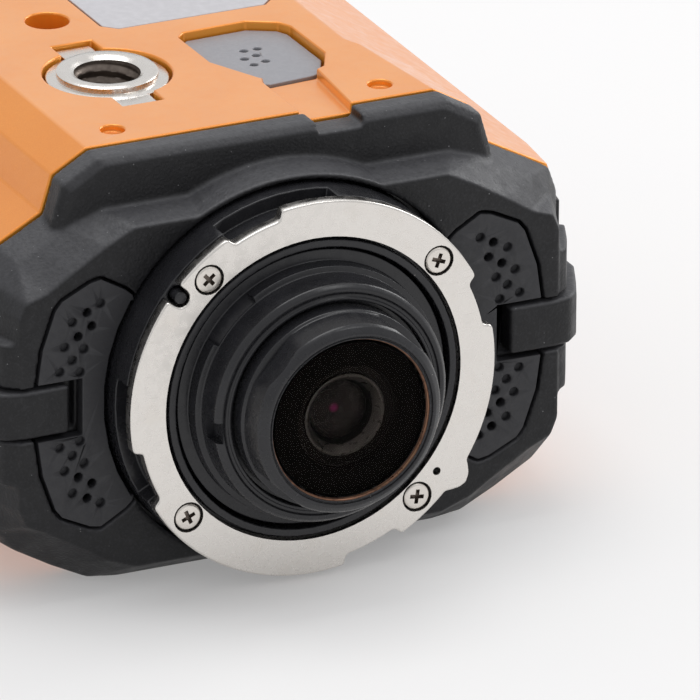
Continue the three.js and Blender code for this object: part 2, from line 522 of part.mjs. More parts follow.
// ---------------------------------------------------------------- fittings on the tripod face
function tripodSocket() {
  const { x, y, holeR, ringR, flangeR, stemR, tabReach, tabHalf } = TRIPOD;
  const flange = rodZ(flangeR, TOP_Z - 1.5, TOP_Z - 0.35, x, y, 36);
  const tabs = box(x - tabHalf, x + tabHalf, y - tabReach, y + tabReach, TOP_Z - 1.5, TOP_Z - 0.45);
  const ring = rodZ(ringR, TOP_Z - 1, TOP_Z + 0.35, x, y, 36);
  const stem = rodZ(stemR, TOP_Z - 6.7, TOP_Z - 1, x, y, 28);
  return cut(join(flange, tabs, ring, stem), rodZ(holeR, TOP_Z - 6, TOP_Z + 1, x, y, 28));
}

function speakerCover() {
  const cover = prismZ(SPEAKER_OUTLINE, TOP_Z - 1.6, TOP_Z - 0.8);
  const holes = [[6, -9.7], [7.4, -9.3], [5.8, -8], [7.2, -7.6], [6.6, -6.1], [8, -6.1]];
  return cut(cover, ...holes.map(([x, y]) => rodZ(0.45, TOP_Z - 3, TOP_Z, x, y, 10)));
}

function caseScrew([x, y]) {
  const { headR, headLow, headHigh, shankR, shankLow } = CASE_SCREW;
  const slotHalf = 0.2;
  const slotReach = 1.1;
  const slot = (along, across) => box(x - along, x + along, y - across, y + across, headHigh - 0.6,
    headHigh + 1);
  const head = rodZ(headR, headLow, headHigh, x, y, 16);
  const shank = rodZ(shankR, shankLow, headLow + 0.2, x, y, 12);
  return cut(join(head, shank), slot(slotReach, slotHalf), slot(slotHalf, slotReach));
}

// ---------------------------------------------------------------- screen face
const button = ({ x, y, r }) => join(rodZ(r, BOTTOM_Z + 0.3, BOTTOM_Z + 2.3, x, y, 24),
  rodZ(r + 0.9, BOTTOM_Z + 2.1, BOTTOM_Z + 2.9, x, y, 24),
  rodZ(1.2, BOTTOM_Z + 2.8, BOTTOM_Z + 4.2, x, y, 12));

// ---------------------------------------------------------------- materials and assembly
const finish = (color, roughness, metalness = 0) =>
  new THREE.MeshStandardMaterial({ color, roughness, metalness });
const RUBBER = finish(0x2d2e31, 0.75);
const BLACK = finish(0x1c1d20, 0.5);
const GRILLE = finish(0x26272a, 0.6);
const ORANGE = finish(0xe88a3c, 0.35, 0.3);
const STEEL = finish(0xd8d4cd, 0.3, 0.9);
const GLASS = finish(0x16100d, 0.05);
const SILVER = finish(0x9a9ba0, 0.45, 0.3);
const BOARD = finish(0x1d5c3a, 0.6);
const CELL = finish(0x3a3f4a, 0.6);

const model = new THREE.Group();
model.position.z = LENS_AXIS_Z;

function add(name, solid, material) {
  const mesh = new THREE.Mesh(toGeometry(solid), material);
  mesh.name = name;
  model.add(mesh);
}
function addPair(name, right, material) {
  add(`${name}_right`, right, material);
  add(`${name}_left`, mirrorX(right), material);
}

add('front_bumper', frontBumper(), RUBBER);
addPair('mic_grille', micGrille(), GRILLE);
addPair('side_rail', sideRail(), RUBBER);
addPair('side_grip_upper', sideGrip(TONGUE_HALF + GAP, GRIP_HALF), RUBBER);
addPair('side_grip_lower', sideGrip(-GRIP_HALF, -TONGUE_HALF - GAP), RUBBER);
addPair('microphone', rodY(MICROPHONE.r, PLATE_Y + 2, -27, MICROPHONE.x, MICROPHONE.z, 16), SILVER);

add('base_shell', baseShell(), ORANGE);
add('top_shell', topShell(), ORANGE);
add('case_gasket', caseGasket(), RUBBER);
CASE_SCREWS.forEach((place, i) => add(`case_screw_${i + 1}`, caseScrew(place), STEEL));

add('rear_frame', rearFrame(), RUBBER);
add('battery_door', batteryDoor(), RUBBER);
add('door_gasket', doorGasket(), GRILLE);
add('door_hinge_pin', rodZ(HINGE.pinR, HINGE.low - PIN_REACH, HINGE.high + PIN_REACH, HINGE.x, HINGE.y, 20),
  STEEL);
add('door_latch', doorLatch(), ORANGE);
add('rear_bulkhead', rearBulkhead(), BLACK);
add('battery', prismY(chamfered(BATTERY.left, BATTERY.right, BATTERY.low, BATTERY.high, 1), BATTERY.front,
  BATTERY.back), CELL);
add('usb_port', port(PORTS.usb), STEEL);
add('hdmi_port', port(PORTS.hdmi), STEEL);
add('memory_card', box(PORTS.card.left, PORTS.card.right, 23, 37.8, PORTS.card.low, PORTS.card.high), BLACK);

add('lens_mount_ring', lensMountRing(), STEEL);
RING_SCREW_ANGLES.forEach((angle, i) => add(`mount_ring_screw_${i + 1}`, ringScrew(angle), STEEL));
add('bayonet_collar', bayonetCollar(), BLACK);
add('lock_pin', lockPin(), BLACK);
add('lens_barrel', lensBarrel(), BLACK);
add('lens_bezel', lensBezel(), BLACK);
add('front_lens', frontLens(), GLASS);
add('lens_baffle', lensBaffle(), BLACK);
add('inner_lens', innerLens(), GLASS);
add('front_chassis', frontChassis(), BLACK);
add('image_sensor', box(-3.4, 3.4, -27, -24.7, -2.6, 2.6), GLASS);
add('sensor_board', box(-12, 12, -24.4, -23.2, -9, 9), BOARD);
add('main_board', box(-20, 20, -21, 25, -6, -4.8), BOARD);
add('image_processor', box(-5, 5, -16, -6, -4.5, -3.2), BLACK);
add('button_board', box(-15, 15, -20, -9, -14.2, -13.2), BOARD);

add('tripod_socket', tripodSocket(), STEEL);
add('speaker_cover', speakerCover(), SILVER);
add('speaker_unit', rodZ(SPEAKER.r, 14.5, TOP_Z - 3.2, SPEAKER.x, SPEAKER.y, 24), BLACK);
add('label_plate', prismZ(LABEL_OUTLINE, TOP_Z - 0.4, TOP_Z - 0.1), SILVER);

add('lcd_window', prismZ(chamfered(-LCD.x, LCD.x, LCD.front, LCD.back, LCD.corner), BOTTOM_Z + 0.15,
  BOTTOM_Z + 1.1), GLASS);
add('lcd_module', box(-13.6, 13.6, LCD.front + 2, LCD.back - 2, BOTTOM_Z + 1.9, BOTTOM_Z + 4.5), BLACK);
for (const spec of BUTTONS) add(spec.name, button(spec), finish(spec.colour, 0.45));

export default model;
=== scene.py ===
"""Looks for the action camera: fine meshes, materials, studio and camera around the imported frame."""

import json
import math

import bmesh
import bpy
from mathutils import Euler, Matrix, Vector

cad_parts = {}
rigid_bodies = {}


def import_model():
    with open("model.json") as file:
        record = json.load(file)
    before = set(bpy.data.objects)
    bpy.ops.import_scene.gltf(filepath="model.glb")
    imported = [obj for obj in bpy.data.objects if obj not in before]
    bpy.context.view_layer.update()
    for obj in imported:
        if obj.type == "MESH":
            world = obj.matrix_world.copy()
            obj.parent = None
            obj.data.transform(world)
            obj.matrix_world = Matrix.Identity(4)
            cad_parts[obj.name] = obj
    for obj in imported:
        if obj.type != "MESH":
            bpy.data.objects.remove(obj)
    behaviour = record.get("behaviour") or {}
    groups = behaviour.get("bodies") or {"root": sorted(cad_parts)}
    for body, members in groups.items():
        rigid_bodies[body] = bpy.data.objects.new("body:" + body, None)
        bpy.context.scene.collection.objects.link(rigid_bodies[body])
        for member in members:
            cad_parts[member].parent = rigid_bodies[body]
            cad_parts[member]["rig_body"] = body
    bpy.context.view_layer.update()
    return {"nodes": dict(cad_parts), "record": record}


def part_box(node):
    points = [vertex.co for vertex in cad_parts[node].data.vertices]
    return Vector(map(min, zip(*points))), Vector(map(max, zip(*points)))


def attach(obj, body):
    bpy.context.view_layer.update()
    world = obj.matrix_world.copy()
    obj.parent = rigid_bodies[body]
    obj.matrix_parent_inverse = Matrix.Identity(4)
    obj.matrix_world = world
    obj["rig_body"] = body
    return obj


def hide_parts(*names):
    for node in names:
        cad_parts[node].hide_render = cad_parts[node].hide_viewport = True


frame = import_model()
SLOT_OF = {part["node"]: part["material_slot"] for part in frame["record"]["subparts"]}

MM = 0.001


def centre_of(node):
    low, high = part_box(node)
    return (low + high) / 2


LENS = centre_of("front_lens")
SOCKET = centre_of("tripod_socket")
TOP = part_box("base_shell")[1].z                     # tripod face
RING_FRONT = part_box("lens_mount_ring")[0].y


# ---------------------------------------------------------------- materials
def map_range(tree, value, low, high, to_low, to_high):
    """A node that maps low..high to to_low..to_high, in any node tree."""
    node = tree.nodes.new("ShaderNodeMapRange")
    limits = {"From Min": low, "From Max": high, "To Min": to_low, "To Max": to_high}
    for socket, number in limits.items():
        node.inputs[socket].default_value = number
    tree.links.new(value, node.inputs["Value"])
    return node.outputs["Result"]


def part_of(tree, vector, axis):
    """The X, Y or Z of a vector, in any node tree."""
    split = tree.nodes.new("ShaderNodeSeparateXYZ")
    tree.links.new(vector, split.inputs[0])
    return split.outputs[axis]


class Look:
    """A Principled material, built up from procedural textures in the object's own coordinates."""

    def __init__(self, name, colour, roughness, metallic=0.0, **fixed):
        self.material = bpy.data.materials.new(name)
        self.material.use_nodes = True
        self.tree = self.material.node_tree
        self.bsdf = self.tree.nodes["Principled BSDF"]
        self.base = (*colour, 1.0)
        self.bsdf.inputs["Base Color"].default_value = self.base
        self.bsdf.inputs["Roughness"].default_value = roughness
        self.bsdf.inputs["Metallic"].default_value = metallic
        for socket, value in fixed.items():
            self.bsdf.inputs[socket.replace("_", " ")].default_value = value
        self.coordinates = self.tree.nodes.new("ShaderNodeTexCoord").outputs["Object"]
        self.relief = None

    def link(self, output, target):
        self.tree.links.new(output, target)

    def placed(self, stretch, turn):
        if stretch == (1, 1, 1) and turn == (0, 0, 0):
            return self.coordinates
        mapping = self.tree.nodes.new("ShaderNodeMapping")
        mapping.inputs["Scale"].default_value = stretch
        mapping.inputs["Rotation"].default_value = turn
        self.link(self.coordinates, mapping.inputs["Vector"])
        return mapping.outputs["Vector"]

    def noise(self, size, detail=3.0, stretch=(1, 1, 1), turn=(0, 0, 0)):
        """Noise whose features are about size millimetres across."""
        node = self.tree.nodes.new("ShaderNodeTexNoise")
        node.inputs["Scale"].default_value = 1 / (size * MM)
        node.inputs["Detail"].default_value = detail
        self.link(self.placed(stretch, turn), node.inputs["Vector"])
        return node.outputs["Fac"]

    def cells(self, size):
        """The outputs of a pattern of cells about size millimetres across."""
        node = self.tree.nodes.new("ShaderNodeTexVoronoi")
        node.inputs["Scale"].default_value = 1 / (size * MM)
        self.link(self.coordinates, node.inputs["Vector"])
        return node.outputs

    def chance(self, cells):
        """A random number for each cell, from the red of its colour."""
        split = self.tree.nodes.new("ShaderNodeSeparateColor")
        self.link(cells["Color"], split.inputs["Color"])
        return split.outputs[0]

    def math(self, operation, a, b):
        node = self.tree.nodes.new("ShaderNodeMath")
        node.operation = operation
        for socket, value in zip(node.inputs, (a, b)):
            if isinstance(value, (int, float)):
                socket.default_value = value
            else:
                self.link(value, socket)
        return node.outputs[0]

    def ranged(self, value, low, high, to_low=0.0, to_high=1.0):
        return map_range(self.tree, value, low, high, to_low, to_high)

    def specks(self, size, share, radius):
        """A mask of small round specks in a share of the cells of that size."""
        cells = self.cells(size)
        near = self.math("LESS_THAN", cells["Distance"], radius)
        chosen = self.math("GREATER_THAN", self.chance(cells), 1 - share)
        return self.math("MULTIPLY", near, chosen)

    def tint(self, mask, colour):
        """Mixes colour over what the base colour is so far, by the mask."""
        socket = self.bsdf.inputs["Base Color"]
        mix = self.tree.nodes.new("ShaderNodeMix")
        mix.data_type = "RGBA"
        under, over = mix.inputs[6], mix.inputs[7]
        if socket.is_linked:
            self.link(socket.links[0].from_socket, under)
        else:
            under.default_value = self.base
        over.default_value = (*colour, 1.0)
        self.link(mask, mix.inputs[0])
        self.link(mix.outputs[2], socket)
        return self

    def spot(self, place, radius, inner):
        """A round mask about a line along Y at x, z: full inside inner, gone at radius, in millimetres."""
        shifted = self.tree.nodes.new("ShaderNodeVectorMath")
        shifted.operation = "SUBTRACT"
        shifted.inputs[1].default_value = (place[0], 0, place[1])
        self.link(self.coordinates, shifted.inputs[0])
        flat = self.tree.nodes.new("ShaderNodeVectorMath")
        flat.operation = "MULTIPLY"
        flat.inputs[1].default_value = (1, 0, 1)
        self.link(shifted.outputs["Vector"], flat.inputs[0])
        far = self.tree.nodes.new("ShaderNodeVectorMath")
        far.operation = "LENGTH"
        self.link(flat.outputs["Vector"], far.inputs[0])
        return self.ranged(far.outputs["Value"], inner * MM, radius * MM, 1.0, 0.0)

    def upright(self, limit):
        """A mask of faces that stand nearly upright, such as the walls of a recess."""
        return self.ranged(self.math("ABSOLUTE", self.slope(), 0), limit, limit / 3, 0.0, 0.75)

    def slope(self):
        """The upward part of the surface's normal."""
        geometry = self.tree.nodes.new("ShaderNodeNewGeometry")
        return part_of(self.tree, geometry.outputs["Normal"], "Z")

    def rough(self, value, low, high):
        """Roughness from low to high, by a noise."""
        self.link(self.ranged(value, 0.3, 0.7, low, high), self.bsdf.inputs["Roughness"])
        return self

    def bump(self, height, depth, strength=1.0):
        """Relief of about depth millimetres, over what relief there is so far."""
        node = self.tree.nodes.new("ShaderNodeBump")
        node.inputs["Strength"].default_value = strength
        node.inputs["Distance"].default_value = depth * MM
        self.link(height, node.inputs["Height"])
        if self.relief is not None:
            self.link(self.relief, node.inputs["Normal"])
        self.relief = node.outputs["Normal"]
        self.link(self.relief, self.bsdf.inputs["Normal"])
        return self


def rubber():
    look = Look("rubber", (0.0065, 0.0065, 0.0075), 0.5, Specular_IOR_Level=0.34)
    grain = look.noise(0.26, 3.0)
    look.tint(look.ranged(look.noise(5, 4.0), 0.35, 0.75, 0, 0.5), (0.010, 0.010, 0.0115))
    look.tint(look.ranged(grain, 0.5, 0.72, 0, 0.6), (0.022, 0.022, 0.025))
    # Faces that look up are tinted lighter in patches: partly dust, partly a painted highlight on the tops of
    # the rubber.
    patches = look.ranged(look.noise(0.5, 5.0), 0.2, 0.6, 0.6, 1)
    dust_and_painted_top_light = look.math("MULTIPLY", look.ranged(look.slope(), 0.2, 0.8), patches)
    look.tint(dust_and_painted_top_light, (0.062, 0.062, 0.067))
    look.tint(look.specks(0.42, 0.06, 0.14), (0.16, 0.16, 0.165))
    look.rough(look.noise(1.5, 4.0), 0.4, 0.56)
    return look.bump(look.cells(0.34)["Distance"], 0.03, 0.6).bump(grain, 0.05, 0.85)


def satin_black():
    look = Look("satin_black", (0.014, 0.014, 0.016), 0.3, Specular_IOR_Level=0.42)
    look.tint(look.ranged(look.noise(3, 4.0), 0.4, 0.8, 0, 0.6), (0.0224, 0.0224, 0.0256))
    look.tint(look.specks(0.7, 0.03, 0.07), (0.26, 0.25, 0.24))
    look.rough(look.noise(0.8, 5.0), 0.2, 0.33)
    return look.bump(look.noise(0.12, 2.0), 0.004, 0.5)


def grille_black():
    look = Look("grille_black", (0.021, 0.021, 0.024), 0.6)
    look.tint(look.ranged(look.noise(0.2, 3.0), 0.4, 0.8, 0, 0.5), (0.035, 0.035, 0.038))
    look.rough(look.noise(0.7, 3.0), 0.5, 0.66)
    return look.bump(look.noise(0.16, 2.0), 0.012, 0.6)


def orange_lacquer():
    look = Look("orange_lacquer", (0.80, 0.26, 0.022), 0.3, 0.45, Coat_Weight=0.45, Coat_Roughness=0.22)
    # Faces that look up are tinted paler and pinker: a painted reflection of the bright sky behind.
    look.tint(look.ranged(look.slope(), 0.85, 0.99, 0, 0.6), (0.88, 0.42, 0.17))
    # Faces that stand upright, such as the walls of recesses, are tinted a brighter yellow-orange: painted
    # reflected light.
    look.tint(look.upright(0.3), (1.0, 0.42, 0.04))
    flakes = look.chance(look.cells(0.07))
    look.tint(look.ranged(flakes, 0.5, 1.0, 0, 0.35), (0.95, 0.38, 0.05))
    look.tint(look.ranged(look.noise(9, 3.0), 0.3, 0.8, 0, 0.3), (0.72, 0.20, 0.015))
    look.rough(look.noise(1.2, 4.0), 0.28, 0.4)
    return look.bump(look.noise(0.35, 3.0), 0.004, 0.35)


def stainless(name="stainless", colour=(0.74, 0.71, 0.672), roughness=(0.20, 0.34)):
    look = Look(name, colour, 0.28, 1.0)
    streaks = look.noise(1.0, 2.0, stretch=(0.6, 1, 14), turn=(0, 0.5, 0))
    look.tint(look.ranged(streaks, 0.66, 0.74, 0, 0.35), (0.52, 0.47, 0.42))
    look.tint(look.ranged(look.noise(2.5, 5.0), 0.55, 0.8, 0, 0.35), (0.68, 0.63, 0.57))
    look.rough(look.noise(0.9, 5.0), *roughness)
    return look.bump(look.noise(0.25, 4.0), 0.004, 0.4).bump(streaks, 0.003, 0.3)


def lens_glass():
    look = Look("lens_glass", (0.86, 0.80, 0.75), 0.0, Transmission_Weight=1.0, IOR=1.09)
    look.rough(look.specks(2.2, 0.02, 0.04), 0.0, 0.02)
    return look


def coated_element():
    """Dark glass with a painted magenta reflection of its coating above the iris."""
    look = Look("coated_element", (0.003, 0.0026, 0.0022), 0.05, Specular_IOR_Level=0.1)
    look.tint(look.ranged(look.noise(2, 2.0), 0.4, 0.9, 0, 0.5), (0.012, 0.005, 0.008))
    # painted reflection: a round magenta glow of the coating, above and left of the axis
    look.tint(look.spot((LENS.x - 0.7 * MM, LENS.z + 0.5 * MM), 0.55, 0.15), (0.10, 0.006, 0.05))
    return look.bump(look.noise(3, 1.0), 0.002, 0.1)


def baffle_black():
    look = Look("baffle_black", (0.003, 0.0024, 0.0022), 0.4, Specular_IOR_Level=0.05)
    look.tint(look.ranged(look.noise(1.5, 3.0), 0.4, 0.9, 0, 0.5), (0.006, 0.0045, 0.004))
    look.rough(look.noise(0.5, 3.0), 0.34, 0.46)
    return look.bump(look.noise(0.1, 2.0), 0.003, 0.4)


def mask_black():
    look = Look("mask_black", (0.0022, 0.0018, 0.0016), 0.6, Specular_IOR_Level=0.02)
    look.tint(look.ranged(look.noise(1.2, 3.0), 0.4, 0.9, 0, 0.5), (0.0045, 0.0034, 0.003))
    look.rough(look.noise(0.5, 3.0), 0.5, 0.7)
    return look.bump(look.noise(0.1, 2.0), 0.002, 0.3)


def copper_edge():
    look = Look("copper_edge", (0.36, 0.19, 0.12), 0.3, 0.9)
    look.tint(look.ranged(look.noise(0.7, 4.0), 0.45, 0.7, 0, 0.8), (0.10, 0.055, 0.04))
    look.rough(look.noise(0.4, 3.0), 0.25, 0.5)
    return look.bump(look.noise(0.15, 3.0), 0.004, 0.5)


def threaded_bore():
    look = Look("threaded_bore", (0.20, 0.165, 0.14), 0.4, 0.8)
    look.tint(look.ranged(look.noise(0.6, 4.0), 0.4, 0.75, 0, 0.6), (0.09, 0.07, 0.058))
    look.rough(look.noise(0.5, 4.0), 0.34, 0.5)
    return look.bump(look.noise(0.12, 3.0), 0.006, 0.5)


def cone_painted_reflection():
    # The cone's base colour is lifted above the baffle's black: a painted reflection of the bright floor on a
    # gloss black cone.
    look = Look("cone_painted_reflection", (0.030, 0.029, 0.029), 0.3, 0.3, Specular_IOR_Level=0.5)
    look.tint(look.ranged(look.noise(0.8, 3.0), 0.4, 0.8, 0, 0.5), (0.016, 0.015, 0.015))
    look.rough(look.noise(0.5, 3.0), 0.24, 0.38)
    return look.bump(look.noise(0.1, 2.0), 0.003, 0.4)


def panel_grey():
    look = Look("panel_grey", (0.28, 0.28, 0.30), 0.42, 0.2)
    look.tint(look.ranged(look.noise(0.3, 3.0), 0.4, 0.8, 0, 0.4), (0.36, 0.36, 0.38))
    look.rough(look.noise(0.9, 4.0), 0.36, 0.5)
    return look.bump(look.noise(0.14, 2.0), 0.006, 0.5)


def solder_mask():
    look = Look("solder_mask", (0.010, 0.11, 0.045), 0.35, Coat_Weight=0.4, Coat_Roughness=0.15)
    tracks = look.noise(0.5, 1.0, stretch=(1, 6, 1))
    look.tint(look.ranged(tracks, 0.5, 0.54, 0, 0.7), (0.02, 0.19, 0.08))
    look.tint(look.specks(1.6, 0.3, 0.2), (0.75, 0.52, 0.18))
    look.rough(look.noise(1, 3.0), 0.3, 0.42)
    return look.bump(tracks, 0.02, 0.4)


def moulded(name, colour, roughness=(0.36, 0.48)):
    look = Look(name, colour, 0.4, Coat_Weight=0.2, Coat_Roughness=0.3)
    paler = tuple(min(1.0, 1.3 * c + 0.01) for c in colour)
    look.tint(look.ranged(look.noise(0.8, 4.0), 0.4, 0.8, 0, 0.4), paler)
    look.rough(look.noise(0.7, 4.0), *roughness)
    return look.bump(look.noise(0.2, 2.0), 0.006, 0.4)


def screen_glass():
    look = Look("screen_glass", (0.006, 0.007, 0.009), 0.05, Coat_Weight=1.0, Coat_Roughness=0.03)
    look.tint(look.ranged(look.noise(6, 4.0), 0.5, 0.9, 0, 0.3), (0.02, 0.02, 0.022))
    look.rough(look.noise(4, 5.0), 0.04, 0.1)
    return look.bump(look.noise(8, 2.0), 0.004, 0.1)


LOOKS = {
    "rubber_black": rubber(),
    "plastic_black": satin_black(),
    "grille_black": grille_black(),
    "orange_shell": orange_lacquer(),
    "stainless": stainless(),
    "screw_steel": stainless("screw_steel", (0.74, 0.70, 0.65), (0.25, 0.4)),
    "lens_glass": screen_glass(),
    "panel_grey": panel_grey(),
    "button_red": moulded("button_red", (0.52, 0.035, 0.02)),
    "button_black": moulded("button_black", (0.022, 0.023, 0.026)),
    "circuit_board": solder_mask(),
    "battery_wrap": moulded("battery_wrap", (0.07, 0.08, 0.11), (0.3, 0.45)),
}
GLASS = lens_glass()
LABEL = moulded("label_foil", (0.46, 0.45, 0.47), (0.3, 0.42))
ELEMENT = coated_element()
BAFFLE = baffle_black()
CONE = cone_painted_reflection()
BORE = threaded_bore()
MASK = mask_black()
COPPER = copper_edge()


# ---------------------------------------------------------------- meshes
def stand_for(piece, node, look=None):
    """The piece rides on its node's body, is shown in its place and takes its slot's finish."""
    look = look or LOOKS[SLOT_OF[node]]
    piece.data.materials.clear()
    piece.data.materials.append(look.material)
    for face in piece.data.polygons:
        face.use_smooth = True
    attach(piece, frame["nodes"][node]["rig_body"])
    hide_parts(node)
    return piece


def new_piece(name, mesh):
    piece = bpy.data.objects.new(name, mesh)
    bpy.context.scene.collection.objects.link(piece)
    return piece


RINGS = ("lens_mount_ring", "bayonet_collar", "tripod_socket", "front_chassis")


def welded_copy(node):
    """The node's mesh in a new bmesh, with split vertices joined. Flat faces are made whole, except on rings,
    where a face around a hole can't be one polygon."""
    source = bmesh.new()
    source.from_mesh(frame["nodes"][node].data)
    bmesh.ops.remove_doubles(source, verts=source.verts, dist=0.003 * MM)
    bmesh.ops.dissolve_degenerate(source, dist=0.02 * MM, edges=source.edges)
    if node not in RINGS:
        bmesh.ops.dissolve_limit(source, angle_limit=math.radians(0.6), verts=source.verts,
                                 edges=source.edges)
    return source


def bevelled(node, width, segments=3, sharper_than=25, name=None):
    """A copy of a node whose edges are rounded by width millimetres."""
    work = welded_copy(node)
    limit = math.radians(sharper_than)
    edges = [e for e in work.edges if len(e.link_faces) == 2 and e.calc_face_angle(0) > limit]
    bmesh.ops.bevel(work, geom=edges, offset=width * MM, segments=segments, profile=0.5, affect="EDGES",
                    clamp_overlap=False, loop_slide=True)
    bmesh.ops.triangulate(work, faces=[f for f in work.faces if len(f.verts) > 4])
    mesh = bpy.data.meshes.new(name or node + "_skin")
    work.to_mesh(mesh)
    work.free()
    return weighted(new_piece(mesh.name, mesh))


def applied(piece):
    """The piece with its modifiers made part of its mesh."""
    seen = piece.evaluated_get(bpy.context.evaluated_depsgraph_get())
    mesh = bpy.data.meshes.new_from_object(seen)
    piece.modifiers.clear()
    old, piece.data = piece.data, mesh
    bpy.data.meshes.remove(old)
    return piece


def weighted(piece, sharper_than=40):
    """Smooth normals that follow the larger faces, so that flat faces stay flat beside round edges."""
    for face in piece.data.polygons:
        face.use_smooth = True
    piece.data.set_sharp_from_angle(angle=math.radians(sharper_than))
    normals = piece.modifiers.new("normals", "WEIGHTED_NORMAL")
    normals.keep_sharp = True
    return applied(piece)


SKIN_VOXEL = 0.22
SKIN_ROUNDS = 6                              # smoothing steps: more of them make the edges rounder


def moulded_copy(node):
    """A copy of a node as one fine skin whose edges are softly rounded, as moulded rubber is."""
    work = welded_copy(node)
    bmesh.ops.triangulate(work, faces=work.faces)
    mesh = bpy.data.meshes.new(node + "_skin")
    work.to_mesh(mesh)
    work.free()
    piece = new_piece(mesh.name, mesh)
    remesh = piece.modifiers.new("skin", "REMESH")
    remesh.mode = "VOXEL"
    remesh.voxel_size = SKIN_VOXEL * MM
    smooth = piece.modifiers.new("round", "SMOOTH")
    smooth.factor = 0.5
    smooth.iterations = SKIN_ROUNDS
    return applied(piece)


def rounded(points, radius, steps=3):
    """A closed outline with each corner replaced by an arc-like curve of about that radius."""
    out = []
    count = len(points)
    for i, point in enumerate(points):
        here, before, after = (Vector(p) for p in (point, points[i - 1], points[(i + 1) % count]))
        if point[0] == 0:
            out.append(tuple(point))
            continue
        reach = min(radius, (before - here).length * 0.45, (after - here).length * 0.45)
        start = here + (before - here).normalized() * reach
        end = here + (after - here).normalized() * reach
        for k in range(steps + 1):
            t = k / steps
            out.append(tuple(start * (1 - t) ** 2 + here * 2 * t * (1 - t) + end * t * t))
    return out


def second_finish(piece, look, chosen):
    """Gives the faces whose middle passes the test another finish."""
    piece.data.materials.append(look.material)
    for face in piece.data.polygons:
        if chosen(face.center):
            face.material_index = 1


def off_axis(point):
    """How far a point is from the lens axis, in millimetres."""
    return math.hypot(point.x - LENS.x, point.z - LENS.z) / MM


def on_lens_axis(r, y, angle):
    return Vector((LENS.x + r * MM * math.cos(angle), y * MM, LENS.z + r * MM * math.sin(angle)))


def on_socket_axis(r, z, angle):
    return Vector((SOCKET.x + r * MM * math.cos(angle), SOCKET.y + r * MM * math.sin(angle), TOP + z * MM))


def turned(name, profile, place=on_lens_axis, count=192, shape=None, breaks=()):
    """A closed body of revolution from (radius, depth) points in millimetres.
    shape(r, h, degrees) may change a radius, and breaks are the angles where it changes at once."""
    angles = {360 * i / count for i in range(count)}
    for at in breaks:
        angles = {a for a in angles if abs(a - at) > 0.6} | {at - 0.15, at + 0.15}
    angles = sorted(angles)
    work = bmesh.new()
    rings = []
    for degrees in angles:
        angle = math.radians(degrees)
        radii = [shape(r, h, degrees) if shape else r for r, h in profile]
        rings.append([work.verts.new(place(r, h, angle)) for r, (_, h) in zip(radii, profile)])
    for i, ring in enumerate(rings):
        following = rings[(i + 1) % len(rings)]
        for k in range(len(profile)):
            m = (k + 1) % len(profile)
            if profile[k][0] == 0 and profile[m][0] == 0:
                continue
            work.faces.new((ring[k], ring[m], following[m], following[k]))
    bmesh.ops.remove_doubles(work, verts=work.verts, dist=0.0004 * MM)
    bmesh.ops.recalc_face_normals(work, faces=work.faces)
    mesh = bpy.data.meshes.new(name)
    work.to_mesh(mesh)
    work.free()
    mesh.set_sharp_from_angle(angle=math.radians(50))
    return new_piece(name, mesh)


def cut_by(piece, cutters):
    """The piece less the cutters, which are removed."""
    for cutter in cutters:
        difference = piece.modifiers.new("cut", "BOOLEAN")
        difference.operation = "DIFFERENCE"
        difference.solver = "MANIFOLD"
        difference.object = cutter
    applied(piece)
    for cutter in cutters:
        bpy.data.objects.remove(cutter)
    return piece


# ---------------------------------------------------------------- lens
RING_Y = RING_FRONT / MM
BEZEL_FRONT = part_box("lens_bezel")[0].y / MM
BEZEL_LEDGE = BEZEL_FRONT + 3.2              # the wall with the flats ends here, at the second rim
BEZEL_FLATS = (46.5, 138, 227, 317)          # degrees round the lens axis
BEZEL_FLAT_AT = 9.25
BEZEL_WALL_R = 9.2                           # only points outside this radius belong to the wall
FLAT_HALF_ANGLE = 40


def bezel_radius(r, y, degrees):
    """The bezel's wall has four flats for the assembly key."""
    if r < BEZEL_WALL_R or y > BEZEL_LEDGE:
        return r
    for flat in BEZEL_FLATS:
        off = abs((degrees - flat + 180) % 360 - 180)
        if off < FLAT_HALF_ANGLE:
            r = min(r, BEZEL_FLAT_AT / math.cos(math.radians(off)))
    return r


def lens_bezel():
    f = BEZEL_FRONT
    profile = [(8.1, f + 0.22), (8.17, f + 0.1), (8.25, f + 0.1), (8.31, f + 0.24), (8.4, f + 0.24),
               (8.46, f + 0.05), (8.55, f), (8.75, f + 0.02), (9.28, f + 0.38), (9.48, f + 0.66),
               (9.72, BEZEL_LEDGE - 0.1), (9.94, BEZEL_LEDGE + 0.1), (9.94, f + 4.98), (7.42, f + 4.98),
               (7.42, f + 1.52), (7.95, f + 1.5), (7.95, f + 0.62), (8.02, f + 0.58), (8.02, f + 0.36),
               (8.1, f + 0.32)]
    piece = turned("lens_bezel_skin", rounded(profile, 0.1), count=256, shape=bezel_radius)
    stand_for(weighted(piece, 50), "lens_bezel")
    second_finish(piece, COPPER, lambda c: 7.9 < off_axis(c) < 8.12 and c.y / MM < f + 0.6)


RECESS = (122, 148)                          # degrees round the lens axis
RECESS_R = 12.15
MIDDLE_STEP = (12.2, 12.8)                   # radii between which the barrel's middle step lies
KEY_NOTCH = ((-14, -11.25), (-41.2, -38.2), (-2.1, 0.0))      # across, along and up, from the lens axis


def barrel_radius(r, y, degrees):
    """The barrel's middle step has a shallow recess at its upper left."""
    on_step = MIDDLE_STEP[0] < r < MIDDLE_STEP[1] and y < RING_Y + 0.3
    if on_step and RECESS[0] < degrees < RECESS[1]:
        return RECESS_R
    return r


def block(name, across, along, up):
    """A closed box between millimetre limits; up is measured from the lens axis."""
    work = bmesh.new()
    bmesh.ops.create_cube(work, size=1)
    for v in work.verts:
        x, y, z = (a if c < 0 else b for (a, b), c in zip((across, along, up), v.co))
        v.co = (LENS.x + x * MM, y * MM, LENS.z + z * MM)
    mesh = bpy.data.meshes.new(name)
    work.to_mesh(mesh)
    work.free()
    return new_piece(name, mesh)


